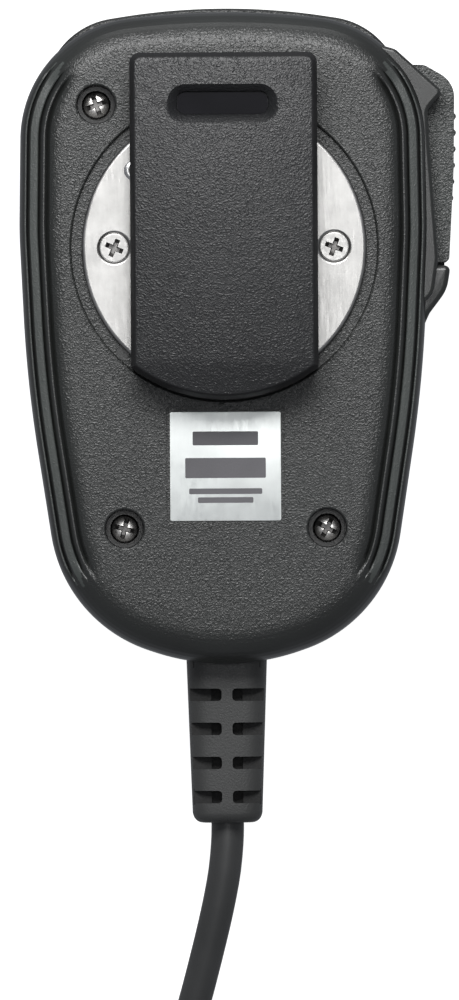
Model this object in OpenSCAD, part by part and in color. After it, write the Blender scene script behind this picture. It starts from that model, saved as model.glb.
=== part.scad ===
// Hand microphone with a swivelling belt clip and a curly cord. It lies face down:
// z = 0 is the face of its front grille, +Z points out of its back, +Y to its top
// and +X to the push-to-talk side. The clip turns about the Z axis.

/* [Body] */
// Height of the joint between the front and rear shells
joint_z = 14.0; // [13.5:0.1:14.5]
// Overall thickness of the closed case
body_t = 28.5; // [28.2:0.1:29]
// Thickness of the case walls
wall = 2.2; // [1.8:0.1:2.4]

/* [Back plate and belt clip] */
// Diameter of the steel retaining plate
plate_d = 45.2; // [44.8:0.1:45.4]
// Diameter of the round recess that the plate lies in
recess_d = 48.8; // [48.6:0.1:49.4]
// Distance between the two plate screws
plate_screw_pitch = 34.9; // [34:0.1:36]
// Width of the belt clip lever
clip_w = 29.7; // [28:0.1:30]
// Reach of the lever's thumb end above the swivel centre
clip_top = 30.8; // [29:0.1:31.5]
// Height of the clip's hinge pin above the grille face
hinge_z = 33.0; // [32.8:0.1:33.2]

/* [Back label] */
// Width of the blank label
label_w = 17.6; // [14:0.1:18]
// Height of the blank label
label_h = 17.3; // [14:0.1:18]

/* [Push-to-talk button] */
// Length of the button along the side
ptt_len = 31.4; // [30.8:0.1:31.6]
// Number of grip ribs on the button
ptt_ribs = 6; // [4:1:6]

/* [Cord] */
// Diameter of the cable
cord_d = 5.2; // [5:0.1:5.3]
// Outer diameter of the curled stretch
curl_d = 15.0; // [14:0.1:15.2]
// Length of the strain relief outside the case
relief_len = 25.6; // [24:0.1:26]

/* [Hidden] */
$fn = 48;
fit = 0.05;
tiny = 0.01;

// Corners of the right half of each shell's outline, top to bottom: x, y, radius
rear_half = [[0, 38.4, 128], [32.1, 34.7, 19.5], [32.6, 2.5, 80], [31.5, -21.3, 205],
    [25.7, -59.4, 23], [0, -68.2, 36]];
front_half = [[0, 39.6, 105], [24.9, 35.7, 12.5], [32.2, 18.4, 50], [31.2, -21.1, 205],
    [25.4, -59.2, 22.5], [0, -68.0, 35]];
body_end = 65.9;

// Rounding of the case edges: height, inset from the widest outline
seam = 0.6;
rear_z = joint_z + seam;
rear_rings = [[rear_z, 0], [20, 0], [23.4, 0.35], [25.5, 1.1], [27.1, 2.4],
    [28.0, 4.0], [body_t, 6.0]];
rear_hollow = [[rear_z - 1, wall], [21, wall], [24.4, wall + 1.4], [26, wall + 4.4]];
front_rings = [[0, 8], [0.4, 5.6], [1.3, 3.5], [2.9, 1.7], [5.4, 0.5], [8.6, 0],
    [joint_z, 0]];
front_floor = 2.0;
front_hollow = [[front_floor, wall + 5.6], [4, wall + 2.4], [7, wall + 0.5],
    [9, wall], [joint_z + 1, wall]];

// Screws
case_screw_at = [[-20.2, 22.8], [16.1, -44.6], [-16.1, -44.6]];
case_head_z = 22.0;
case_head_r = 2.3;
case_sink_r = 3.05;
screw_r = 1.25;
insert_z = [5, 11];
insert_r = 2.0;
plate_screw_at = [[-plate_screw_pitch / 2, 0], [plate_screw_pitch / 2, 0]];
plate_head_r = 2.35;

// Plate and swivel
plate_t = 1.2;
recess_z = body_t - 0.8;
plate_z = recess_z + plate_t;
hub_hole_r = 9.0;
flange_r = 12.4;
pocket_r = 12.8;
pocket_z = recess_z - 1.8;
rivet_at = [-14.2, 12.3];
notch_at = [-16.2, -16.6];
detent_r = 10.5;
detents = 8;
dome_r = 1.0;
dome_z = pocket_z - 0.15;
leaf_w = 2.4;
leaf_t = 0.3;
leaf_root = -5.5;
leaf_z = pocket_z - 1.2;

// Clip lever
crown_r = 260;
crown_y = 4;
lever_top = 39.4;
lever_t = 2.8;
pin_r = 1.2;
ear_r = 3.3;
hub_w = 14.0;
hub_gap = 8.8;
ear_in = hub_w / 2 + 0.3;
ear_t = 2.5;
jaw_r = recess_d / 2 - 0.25;
jaw_in = plate_d / 2 + 0.3;
jaw_z = recess_z + 0.4;
slot_at = 22.7;
slot_size = [14.4, 3.5];
slot_sink = [17.2, 6.4];
slot_depth = 1.9;
sink_depth = 0.8;
lever_corner = 1.4;

// Push-to-talk button
window_y = [-3.0, 30.0];
window_z = [7.6, 20.9];
button_z = [8.0, 20.5];
button_skin = 1.5;
ptt_pin_at = [31.1, 0.6];
ptt_pin_r = 0.8;
plunger_z = 13.0;
plunger_y = 13.0;
plunger_r = 1.5;
spring_y = 22.0;

// Speaker and board
speaker_at = [0, 6.5];
board_z = [15.0, 16.6];
relief_z = joint_z;
relief_end = body_end + relief_len;
board_screw_at = [[12, -30], [-12.5, 26]];
capsule_at = [-18, -32];
capsule_r = 4.5;
boot_r = 6.1;
clamp_y = -56.2;
clamp_x = 9.4;
clamp_z = 15;
relief_slot_y = -71.1;
relief_slot_pitch = 5.43;
relief_slots = 4;

// Cord routes, chosen by hand; each ends where the next one begins
lead_route = [[0, -91.5, 14], [0, -92.5, 14], [-0.1, -95, 14], [-0.5, -99, 13.8],
    [-1.2, -103, 13.4], [-2.3, -108, 12.7], [-3.8, -114, 11.6], [-5.4, -120, 10.4],
    [-7.2, -126, 9.2], [-9.4, -132, 8.2], [-11.8, -138, 7.5], [-14, -143, 7.5]];
curl_start = [[-14, -143, 7.5], [-17.96, -152, 7.5], [-22, -164, 7.5],
    [-25.5, -178, 7.5], [-29, -196, 7.5], [-31.3, -216, 7.5], [-32, -236, 7.5]];
curl_bend = [-2, -254, 7.5];
curl_bend_r = 30;
curl_finish = [[28, -236, 7.5], [28, -216, 7.5], [28, -196, 7.5], [28, -176, 7.5]];
curl_route = concat(curl_start,
    [for (a = [180 : 15 : 360]) curl_bend + curl_bend_r * [cos(a), sin(a), 0]],
    curl_finish);
tail_route = [[28, -176, 7.5], [28, -170, 7.5], [27.6, -164, 7.3], [26, -158, 7],
    [22.6, -152.6, 6.4], [17.6, -149.2, 5.8], [12, -148, 5.2], [6.4, -149.2, 4.8],
    [1.4, -152.6, 4.6], [-2, -158, 4.5], [-3.6, -163, 4.5], [-4, -168, 4.5], [-4, -170, 4.5]];
plug_at = [-4, -170, 4.5];
boot_len = 11;
plug_size = [11.7, 21.5, 8.0];
latch_bead = 0.45;

// ---- shapes from points ----

function unit(v) = v / norm(v);
function both_sides(half) = concat(half,
    [for (k = [len(half) - 1 : -1 : 0]) if (half[k].x > tiny) [-half[k].x, half[k].y, half[k][2]]]);

// Points of one rounded corner c between its neighbours p and q, moved inwards
function corner_arc(p, c, q, inset, steps) = let (
        at = [c.x, c.y],
        a = unit([p.x, p.y] - at),
        b = unit([q.x, q.y] - at),
        half = acos(a * b) / 2,
        centre = at + unit(a + b) * c[2] / sin(half),
        first = unit(at + a * c[2] / tan(half) - centre),
        sweep = (cross(a, b) > 0 ? -1 : 1) * (180 - 2 * half))
    [for (i = [0 : steps]) let (t = sweep * i / steps)
        centre + (c[2] - inset) * [first.x * cos(t) - first.y * sin(t),
            first.x * sin(t) + first.y * cos(t)]];

function rounded(corners, inset = 0, steps = 5) = let (n = len(corners))
    [for (k = [0 : n - 1])
        each corner_arc(corners[(k + n - 1) % n], corners[k], corners[(k + 1) % n],
            inset, steps)];

// Closed solid through equal rings of points, first and last ring capped
module skin(rings) {
    n = len(rings[0]);
    m = len(rings);
    walls = [for (j = [0 : m - 2]) for (i = [0 : n - 1]) let (k = (i + 1) % n)
        each [[j * n + i, j * n + k, (j + 1) * n + k],
            [j * n + i, (j + 1) * n + k, (j + 1) * n + i]]];
    ends = [[for (i = [n - 1 : -1 : 0]) i], [for (i = [0 : n - 1]) (m - 1) * n + i]];
    polyhedron(points = [for (r = rings) each r], faces = concat(walls, ends));
}

// Solid whose outline shrinks by each ring's inset
module case_form(half, rings) {
    corners = both_sides(half);
    skin([for (r = rings) [for (p = rounded(corners, r[1])) [p.x, p.y, r[0]]]]);
}

function along(route, i) = unit(route[min(i + 1, len(route) - 1)] - route[max(i - 1, 0)]);

// Round tube along a route that never points straight up
module tube(route, r, sides = 10) {
    skin([for (i = [0 : len(route) - 1]) let (
            t = along(route, i),
            side = unit(cross(t, [0, 0, 1])),
            up = cross(side, t))
        [for (k = [0 : sides - 1]) let (a = 360 * k / sides)
            route[i] + r * (cos(a) * side + sin(a) * up)]]);
}

module prism(corners, z, steps = 6) {
    translate([0, 0, z[0]])
        linear_extrude(z[1] - z[0]) polygon(rounded(corners, 0, steps));
}

module block(low, high) {
    translate(low) cube(high - low);
}

module post(at, r, z) {
    translate([at.x, at.y, z[0]]) cylinder(r = r, h = z[1] - z[0]);
}

module ring(at, r_in, r_out, z) {
    difference() {
        post(at, r_out, z);
        post(at, r_in, [z[0] - 1, z[1] + 1]);
    }
}

// Cylinder along X or Y
module post_x(at, r, len) {
    translate(at) rotate([0, 90, 0]) cylinder(r = r, h = len);
}

module post_y(at, r1, r2, len) {
    translate(at) rotate([90, 0, 0]) cylinder(r1 = r1, r2 = r2, h = len);
}

// Cross recess of a screw head
module cross_slot(at, z, r, depth) {
    for (a = [0, 90]) translate([at.x, at.y, z]) rotate([0, 0, a + 8])
        translate([-r, -0.32, -depth]) cube([2 * r, 0.64, depth + 1]);
}

module slot_plan(size) {
    span = size.x - size.y;
    for (s = [-1, 1]) translate([s * span / 2, 0]) circle(d = size.y);
    square([span, size.y], center = true);
}

// ---- case ----

// Cheek above the button, and the toe that closes its lower end
cheek = [[24, 32.4, 0.4], [27.4, 31.4, 2], [34.9, 24.6, 0.9], [32.4, 21.8, 2],
    [32.7, 16, 6], [34.0, -1.8, 2], [33, -9, 3], [24, -9, 0.4]];
toe = [[26, -3.0, 0.4], [36.0, -3.0, 0.6], [35.4, -6.9, 6], [32.6, -10.6, 1.5],
    [30.6, -15, 2], [26, -15, 0.4]];

module ptt_openings() {
    block([26, window_y[0], window_z[0]], [40, window_y[1], window_z[1]]);
    post(ptt_pin_at, ptt_pin_r + 0.02, [5.4, 23.1]);
}

module relief_opening() {
    post_y([0, -50, relief_z], 5.2, 5.2, 30);
    post_y([0, -body_end + 5.6, relief_z], 7.6, 7.6, 2.4);
}

module rear_shell() color([0.25, 0.26, 0.25]) {
    difference() {
        union() {
            difference() {
                union() {
                    case_form(rear_half, rear_rings);
                    prism(cheek, [window_z[1], 25]);
                    prism(toe, [rear_z, 23]);
                }
                case_form(rear_half, rear_hollow);
            }
            post([0, 0], pocket_r + 2, [pocket_z - 1.9, 26.2]);
            for (p = case_screw_at) post(p, case_sink_r + 1.5, [rear_z, 26.2]);
            for (p = plate_screw_at) post(p, 3.2, [20.4, 26.2]);
        }
        post([0, 0], recess_d / 2, [recess_z, body_t + 1]);
        post(notch_at, 1.1, [recess_z - 0.6, body_t]);
        post([0, 0], pocket_r, [pocket_z, body_t]);
        block([-leaf_w / 2 - fit, -detent_r - 1.2, leaf_z], [leaf_w / 2 + fit, leaf_root, body_t]);
        for (p = case_screw_at) {
            post(p, case_sink_r, [case_head_z, body_t + 1]);
            post(p, screw_r + 0.15, [rear_z - 1, body_t]);
        }
        for (p = plate_screw_at) post(p, screw_r + fit, [21, body_t]);
        post(rivet_at, 1.0, [25, body_t]);
        block([-label_w / 2 - 0.6, -44.3, body_t - 0.5], [label_w / 2 + 0.6, -25.2, body_t + 1]);
        ptt_openings();
        relief_opening();
    }
}

module front_shell() color([0.22, 0.23, 0.22]) {
    difference() {
        union() {
            difference() {
                union() {
                    case_form(front_half, front_rings);
                    prism(toe, [5.4, joint_z]);
                    block([26, window_y[0] - 3, 5.8], [35.2, window_y[0] + 2.2, window_z[0]]);
                }
                case_form(front_half, front_hollow);
            }
            for (p = case_screw_at) post(p, insert_r + 1.4, [1.4, joint_z]);
            for (p = board_screw_at) post(p, 2.6, [1.4, board_z[0]]);
            ring(speaker_at, 20.4, 21.8, [1.4, 6]);
            post(capsule_at, boot_r + 1.3, [1.4, 6]);
            block([22.4, 18.6, 1.4], [23.6, 25.4, 17]);
            for (s = [-1, 1]) block([clamp_x * s - 2, clamp_y - 2.3, 1.6],
                [clamp_x * s + 2, clamp_y + 2.2, 12.9]);
        }
        post(capsule_at, boot_r + fit, [front_floor, 8]);
        for (p = case_screw_at) post(p, insert_r, [insert_z[0], joint_z + 1]);
        for (p = board_screw_at) post(p, 1.05, [8, board_z[0] + 1]);
        for (s = [-1, 1]) post([clamp_x * s, clamp_y], 1.05, [6, 14]);
        intersection() {
            post(speaker_at, 17, [-1, front_floor + 1]);
            for (k = [-6 : 6])
                block([-18, speaker_at.y + 2.6 * k - 0.6, -1],
                    [18, speaker_at.y + 2.6 * k + 0.6, front_floor + 1]);
        }
        post(capsule_at, 0.8, [-1, front_floor + 1]);
        ptt_openings();
        relief_opening();
    }
}

module case_gasket() color([0.1, 0.1, 0.1]) {
    corners = both_sides(rear_half);
    difference() {
        translate([0, 0, joint_z]) linear_extrude(seam) difference() {
            polygon(rounded(corners, 0.6));
            polygon(rounded(corners, wall));
        }
        ptt_openings();
        relief_opening();
        for (p = case_screw_at) post(p, 4.8, [0, 30]);
    }
}

module case_screws() color([0.7, 0.7, 0.68]) {
    for (p = case_screw_at) difference() {
        union() {
            post(p, case_head_r, [case_head_z, case_head_z + 1.7]);
            post(p, screw_r, [insert_z[0] + 0.6, case_head_z + tiny]);
        }
        cross_slot(p, case_head_z + 1.7, 1.6, 0.9);
    }
}

module case_inserts() color([0.75, 0.6, 0.3]) {
    for (p = case_screw_at) ring(p, screw_r + 0.02, insert_r - 0.02, insert_z);
}

// ---- back plate, label ----

module retaining_plate() color([0.8, 0.8, 0.78]) {
    r = plate_d / 2;
    difference() {
        rotate_extrude($fn = 96) polygon([[hub_hole_r, recess_z], [r - 0.1, recess_z],
            [r, recess_z + 0.2], [r, plate_z - 0.5], [r - 0.2, plate_z - 0.2],
            [r - 0.7, plate_z], [hub_hole_r, plate_z]]);
        for (p = plate_screw_at) {
            post(p, screw_r + 0.2, [recess_z - 1, plate_z + 1]);
            translate([p.x, p.y, plate_z - 1.1]) cylinder(r1 = 1.6, r2 = 2.75, h = 1.15);
        }
        post(rivet_at, 1.05, [recess_z - 1, plate_z + 1]);
    }
}

module plate_screws() color([0.7, 0.7, 0.68]) {
    for (p = plate_screw_at) difference() {
        union() {
            translate([p.x, p.y, plate_z - 1.0]) cylinder(r1 = screw_r, r2 = plate_head_r, h = 0.9);
            post(p, screw_r, [21.4, plate_z - 0.9]);
        }
        cross_slot(p, plate_z - 0.1, 1.55, 0.7);
    }
}

module index_rivet() color([0.75, 0.75, 0.73]) {
    post(rivet_at, 0.95, [25.2, plate_z]);
    post(rivet_at, 1.65, [plate_z, plate_z + 0.3]);
}

module back_label() color([0.78, 0.8, 0.79]) {
    block([-label_w / 2, -43.4, body_t - 0.5], [label_w / 2, -43.4 + label_h, body_t - 0.25]);
}

// Leaf spring under the hub; its dome rests in one of the hub's dimples
module detent_spring() color([0.7, 0.7, 0.7]) {
    knee = -detent_r + 1.6;
    translate([-leaf_w / 2, 0, 0]) rotate([90, 0, 90]) linear_extrude(leaf_w)
        polygon([[leaf_root, leaf_z], [leaf_root, leaf_z + leaf_t], [knee + 2, leaf_z + leaf_t],
            [knee, dome_z], [-detent_r - 1, dome_z], [-detent_r - 1, dome_z - leaf_t],
            [knee + 0.2, dome_z - leaf_t], [knee + 2.2, leaf_z]]);
    intersection() {
        translate([0, -detent_r, dome_z]) sphere(r = dome_r);
        post([0, -detent_r], dome_r + 1, [dome_z - tiny, dome_z + dome_r]);
    }
}

// ---- inside the case ----

module grille_cloth() color([0.08, 0.08, 0.08]) {
    post(speaker_at, 19, [front_floor, front_floor + 0.3]);
}

module speaker_frame() color([0.35, 0.35, 0.36]) {
    translate([speaker_at.x, speaker_at.y, 0]) rotate_extrude()
        polygon([[18, 2.5], [20.2, 2.5], [20.2, 4.2], [19, 4.2], [12.6, 9], [12.6, 9.6],
            [10, 9.6], [10, 8.8], [12, 8.8], [18.4, 3.6], [18, 3.6]]);
}

module speaker_cone() color([0.15, 0.13, 0.1]) {
    translate([speaker_at.x, speaker_at.y, 0]) rotate_extrude()
        polygon([[0, 6.2], [4, 6.2], [6, 7.2], [17.8, 2.6], [17.8, 3.0], [6, 7.7],
            [4, 6.7], [0, 6.7]]);
}

module speaker_magnet() color([0.3, 0.3, 0.32]) {
    post(speaker_at, 9.9, [8.4, 13.2]);
}

module mic_capsule() color([0.7, 0.7, 0.7]) {
    post(capsule_at, capsule_r, [front_floor + 1, 6.6]);
}

module mic_boot() color([0.1, 0.1, 0.1]) {
    difference() {
        post(capsule_at, boot_r, [front_floor, 7.2]);
        post(capsule_at, capsule_r + fit, [front_floor + 1, 8]);
        post(capsule_at, 1.0, [0, 8]);
    }
}

module circuit_board() color([0.1, 0.35, 0.2]) {
    difference() {
        block([-22, -38, board_z[0]], [22, 28.5, board_z[1]]);
        for (p = case_screw_at) post(p, 5.2, [0, 30]);
        for (p = board_screw_at) post(p, 1.4, [0, 30]);
    }
}

module board_screws() color([0.7, 0.7, 0.68]) {
    for (p = board_screw_at) {
        post(p, 2.0, [board_z[1], board_z[1] + 1.3]);
        post(p, 1.0, [9, board_z[1] + tiny]);
    }
}

module ptt_switch() color([0.15, 0.15, 0.16]) {
    difference() {
        block([19, plunger_y - 3, board_z[0] - 5], [25, plunger_y + 3, board_z[0]]);
        post_x([23.2, plunger_y, plunger_z], plunger_r + fit, 4);
    }
}

module board_connector() color([0.85, 0.82, 0.75]) {
    block([-6, -37, board_z[0] - 5.4], [6, -32, board_z[0]]);
}

module inner_wires() color([0.6, 0.15, 0.12]) {
    for (k = [-1.5 : 1 : 1.5])
        tube([[0.95 * k, -50 + fit, relief_z + 0.1 * k], [0.95 * k, -49.4, relief_z + 0.1 * k],
            [1.3 * k, -47, relief_z - 0.6],
            [1.8 * k, -44, relief_z - 1.4], [2.2 * k, -41, relief_z - 1.9],
            [2.4 * k, -37, relief_z - 2]], 0.42, 8);
}

module cable_clamp() color([0.2, 0.2, 0.2]) {
    difference() {
        block([-clamp_x - 2.2, clamp_y - 2, 13], [clamp_x + 2.2, clamp_y + 2, 18.4]);
        post_y([0, -50, relief_z], cord_d / 2 + 0.02, cord_d / 2 + 0.02, 12);
        for (s = [-1, 1]) {
            post([clamp_x * s, clamp_y], 1.2, [10, 20]);
            block([clamp_x * s - 2.6, -60, clamp_z], [clamp_x * s + 2.6, -50, 20]);
        }
        block([-cord_d / 2 - 0.02, -60, 10], [cord_d / 2 + 0.02, -50, relief_z]);
    }
}

module clamp_screws() color([0.7, 0.7, 0.68]) {
    for (s = [-1, 1]) {
        post([clamp_x * s, clamp_y], 1.8, [clamp_z, clamp_z + 1.2]);
        post([clamp_x * s, clamp_y], 1.0, [7, clamp_z + tiny]);
    }
}

// ---- push-to-talk button ----

module ptt_pin() color([0.75, 0.75, 0.75]) {
    post(ptt_pin_at, ptt_pin_r, [5.6, 22.9]);
}

// A soft coil between the case rib and the button, as its outer envelope
module ptt_spring() color([0.75, 0.75, 0.75]) {
    difference() {
        post_x([23.7, spring_y, plunger_z], 2.3, 10.9);
        post_x([23, spring_y, plunger_z], 1.8, 14);
    }
}

module ptt_button() color([0.24, 0.25, 0.24]) {
    top = window_y[0] + 0.6 + ptt_len;
    low = window_y[0] + 0.6;
    outer = [[29.2, top, 0.6], [32.0, top, 2.4], [36.8, 26.2, 4.2], [36.6, 12, 90],
        [35.8, low, 0.8], [29.2, low, 0.6]];
    difference() {
        union() {
            prism(outer, button_z);
            for (k = [0 : ptt_ribs - 1]) post([36.55 - 0.02 * k * k, 20.8 - 2.6 * k], 0.5, [10, 18.5]);
        }
        block([28, 2.6, button_z[0] + button_skin], [34.9, 25.2, button_z[1] - button_skin]);
        post(ptt_pin_at, ptt_pin_r + 0.05, [5, 24]);
    }
    block([28.1, plunger_y - 1.6, plunger_z - 1.6], [35, plunger_y + 1.6, plunger_z + 1.6]);
    block([29.2, 4.5, plunger_z - 0.6], [35, 5.7, button_z[1] - button_skin + tiny]);
    block([28.1, plunger_y - 1.6, plunger_z + 1.5], [35, plunger_y - 0.4, button_z[1] - button_skin + tiny]);
}

module switch_plunger() color([0.85, 0.85, 0.8]) {
    post_x([24.1, plunger_y, plunger_z], plunger_r, 3.7);
}

// ---- belt clip ----

module swivel_hub() color([0.16, 0.16, 0.17]) {
    top = hinge_z + 2.2;
    difference() {
        union() {
            post([0, 0], flange_r, [pocket_z + 0.15, recess_z - 0.15]);
            post([0, 0], hub_hole_r - fit, [recess_z - 0.2, plate_z + 0.5]);
            block([-hub_w / 2, -4.6, plate_z + 0.4], [hub_w / 2, 4.6, hinge_z]);
            intersection() {
                post_x([-hub_w / 2, 0, hinge_z - 1], 4.6, hub_w);
                block([-hub_w / 2, -4.6, hinge_z - 1], [hub_w / 2, 4.6, top]);
            }
        }
        block([-hub_gap / 2, -6, plate_z + 1.4], [hub_gap / 2, 6, top + 1]);
        post_x([-hub_w, 0, hinge_z], pin_r + 0.01, 2 * hub_w);
        for (k = [0 : detents - 1]) rotate([0, 0, 360 * k / detents])
            translate([0, -detent_r, dome_z]) sphere(r = dome_r + 0.1);
    }
}

module hinge_pin() color([0.75, 0.75, 0.75]) {
    reach = ear_in + ear_t - 0.3;
    post_x([-reach, 0, hinge_z], pin_r, 2 * reach);
}

// Coil round the pin, one leg against the hub and one under the thumb end
module torsion_spring() color([0.7, 0.7, 0.7]) {
    difference() {
        union() {
            post_x([-hub_gap / 2 + 0.4, 0, hinge_z], 2.4, hub_gap - 0.8);
            translate([3.4, 1.8, hinge_z + 1.0]) rotate([-84, 0, 0]) cylinder(r = 0.45, h = 13);
            translate([-3.4, 1.6, hinge_z - 1.4]) rotate([-90, 0, 0]) cylinder(r = 0.45, h = 3);
        }
        post_x([-8, 0, hinge_z], 1.5, 16);
    }
}

module lever_plan() {
    square_top = clip_top - lever_corner;
    translate([-clip_w / 2, -15]) square([clip_w, square_top + 15]);
    translate([lever_corner - clip_w / 2, -15]) square([clip_w - 2 * lever_corner, clip_top + 15]);
    for (s = [-1, 1])
        translate([s * (clip_w / 2 - lever_corner), square_top]) circle(r = lever_corner);
    intersection() {
        circle(r = jaw_r, $fn = 96);
        translate([-clip_w / 2, -40]) square([clip_w, 40]);
    }
}

module lever_band(z_from, z_to) {
    intersection() {
        translate([0, 0, 25]) linear_extrude(20) lever_plan();
        translate([-20, 0, 0]) rotate([90, 0, 90]) linear_extrude(40) difference() {
            translate([crown_y, z_to - crown_r]) circle(r = crown_r, $fn = 400);
            translate([crown_y, z_from - crown_r]) circle(r = crown_r, $fn = 400);
            translate([-300, -300]) square([600, 325]);
        }
    }
}

module clip_lever() color([0.15, 0.15, 0.17]) {
    difference() {
        union() {
            lever_band(lever_top - lever_t, lever_top);
            intersection() {
                ring([0, 0], jaw_in, jaw_r, [jaw_z, lever_top - lever_t + 0.6]);
                block([-clip_w / 2, -30, 20], [clip_w / 2, -10, 60]);
            }
            for (s = [-1, 1]) translate([s * (ear_in + ear_t / 2) - ear_t / 2, 0, 0]) {
                post_x([0, 0, hinge_z], ear_r, ear_t);
                block([0, -ear_r, hinge_z], [ear_t, ear_r, lever_top - lever_t + 0.5]);
            }
        }
        post_x([-ear_in - ear_t, 0, hinge_z], pin_r + fit, 2 * (ear_in + ear_t));
        translate([0, slot_at, lever_top - slot_depth]) linear_extrude(5) slot_plan(slot_size);
        translate([0, slot_at, lever_top - sink_depth]) linear_extrude(5) slot_plan(slot_sink);
    }
}

// ---- strain relief, cord and plug ----

module strain_relief() color([0.17, 0.17, 0.17]) {
    difference() {
        union() {
            post_y([0, -body_end - 0.1, relief_z], 6.45, 5.6, relief_len - 1.6);
            post_y([0, 1.5 - relief_end, relief_z], 5.6, 4.6, 1.5);
            post_y([0, -body_end + 6, relief_z], 5.1, 5.1, 6.2);
            post_y([0, -body_end + 5.5, relief_z], 7.5, 7.5, 2.2);
        }
        post_y([0, -50, relief_z], cord_d / 2 + 0.02, cord_d / 2 + 0.02, 50);
        for (k = [0 : relief_slots - 1]) for (s = [-1, 1]) {
            y = relief_slot_y - relief_slot_pitch * k;
            block([s * 4.0 - 3.1, y - 1, relief_z - 8], [s * 4.0 + 3.1, y + 1, relief_z - 3.4]);
            block([s * 4.0 - 3.1, y - 1, relief_z + 3.4], [s * 4.0 + 3.1, y + 1, relief_z + 8]);
        }
    }
}

module inner_cable() color([0.13, 0.13, 0.13]) {
    post_y([0, -50, relief_z], cord_d / 2, cord_d / 2, relief_end - 50);
}

module cord_lead() color([0.13, 0.13, 0.13]) {
    tube(lead_route, cord_d / 2, 12);
}

module curly_cord() color([0.13, 0.13, 0.13]) {
    tube(curl_route, curl_d / 2, 12);
}

module cord_tail() color([0.13, 0.13, 0.13]) {
    tube(tail_route, cord_d / 2, 12);
}

module plug_boot() color([0.12, 0.12, 0.12]) {
    post_y(plug_at, 3.3, 3.9, boot_len);
}

module plug_body() color([0.8, 0.83, 0.85]) {
    front = plug_at.y - boot_len - plug_size.y;
    difference() {
        block([plug_at.x - plug_size.x / 2, front, plug_at.z - 4.4],
            [plug_at.x + plug_size.x / 2, plug_at.y - boot_len, plug_at.z + 3.6]);
        for (k = [-3.5 : 3.5]) block([plug_at.x + 1.02 * k - 0.25, front - 1, -1],
            [plug_at.x + 1.02 * k + 0.25, front + 6, 1.8]);
    }
}

module plug_contacts() color([0.85, 0.7, 0.35]) {
    front = plug_at.y - boot_len - plug_size.y;
    for (k = [-3.5 : 3.5]) block([plug_at.x + 1.02 * k - 0.2, front + 0.3, 0.6],
        [plug_at.x + 1.02 * k + 0.2, front + 5.7, 1.8]);
}

// Springy tab above the plug; it bends about the round bead at its root
module plug_latch() color([0.8, 0.83, 0.85]) {
    root = plug_at.y - boot_len - plug_size.y + 2.5;
    low = plug_at.z + 3.6 + fit;
    translate([plug_at.x - 3, 0, 0]) rotate([90, 0, 90]) linear_extrude(6) {
        translate([root, low + latch_bead]) circle(r = latch_bead);
        polygon([[root, low + 0.1], [root + 15.5, low + 2.3], [root + 15.5, low + 3.2],
            [root, low + 2 * latch_bead - 0.05]]);
    }
}

rear_shell();
front_shell();
case_gasket();
case_screws();
case_inserts();
retaining_plate();
plate_screws();
index_rivet();
back_label();
detent_spring();
grille_cloth();
speaker_frame();
speaker_cone();
speaker_magnet();
mic_capsule();
mic_boot();
circuit_board();
board_screws();
ptt_switch();
board_connector();
inner_wires();
cable_clamp();
clamp_screws();
ptt_pin();
ptt_spring();
strain_relief();
inner_cable();
cord_lead();
curly_cord();
cord_tail();
plug_boot();
plug_body();
plug_contacts();
plug_latch();
swivel_hub();
hinge_pin();
torsion_spring();
clip_lever();
ptt_button();
switch_plunger();
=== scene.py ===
"""Looks of the hand microphone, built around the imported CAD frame. Lengths are in millimetres until
a mesh is made; the frame and Blender are in metres."""
import math

import bmesh
import bpy
from mathutils import Matrix, Vector


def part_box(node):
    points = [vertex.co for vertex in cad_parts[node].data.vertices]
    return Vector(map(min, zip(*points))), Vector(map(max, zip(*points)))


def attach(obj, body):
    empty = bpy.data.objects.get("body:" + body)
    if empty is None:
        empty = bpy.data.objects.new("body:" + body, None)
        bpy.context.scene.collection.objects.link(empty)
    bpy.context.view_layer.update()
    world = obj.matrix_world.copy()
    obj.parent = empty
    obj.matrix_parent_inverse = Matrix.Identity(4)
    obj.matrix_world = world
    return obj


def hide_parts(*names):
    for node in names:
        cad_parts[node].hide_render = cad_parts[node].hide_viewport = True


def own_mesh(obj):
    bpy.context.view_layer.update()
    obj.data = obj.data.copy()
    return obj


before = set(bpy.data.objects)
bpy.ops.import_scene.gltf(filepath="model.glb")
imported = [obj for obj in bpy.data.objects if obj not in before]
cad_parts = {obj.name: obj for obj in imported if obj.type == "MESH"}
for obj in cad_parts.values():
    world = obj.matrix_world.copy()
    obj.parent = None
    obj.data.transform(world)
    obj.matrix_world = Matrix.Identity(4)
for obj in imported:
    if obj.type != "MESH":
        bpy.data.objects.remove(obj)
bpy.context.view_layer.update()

MM = 0.001
TAU = 2 * math.pi


def at(node):
    """Lowest and highest corner of a CAD node, in millimetres."""
    low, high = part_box(node)
    return Vector(low) / MM, Vector(high) / MM


# ---------------------------------------------------------------- sizes, in mm
SEAM_Z = at("rear_shell")[0].z
BACK_Z = at("rear_shell")[1].z
FRONT_TOP = at("case_gasket")[0].z
PLATE_LOW, PLATE_TOP = at("retaining_plate")
PLATE_R = PLATE_TOP.x
RECESS_R = PLATE_R + 1.8
RECESS_Z = PLATE_LOW.z
LEVER_TOP = at("clip_lever")[1]
RELIEF_END = at("strain_relief")[0].y
LABEL_LOW, LABEL_TOP = at("back_label")
CORD_D = 5.2
CURL_D = 15.0
AXIS_Z = 14.0
HINGE_Z = sum(p.z for p in at("hinge_pin")) / 2
CASE_SCREWS = [(-20.2, 22.8), (16.1, -44.6), (-16.1, -44.6)]
PLATE_SCREWS = [(-17.45, 0.0), (17.45, 0.0)]
RIVET = (-14.2, 12.3)
NOTCH = (-16.2, -16.6)

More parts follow.
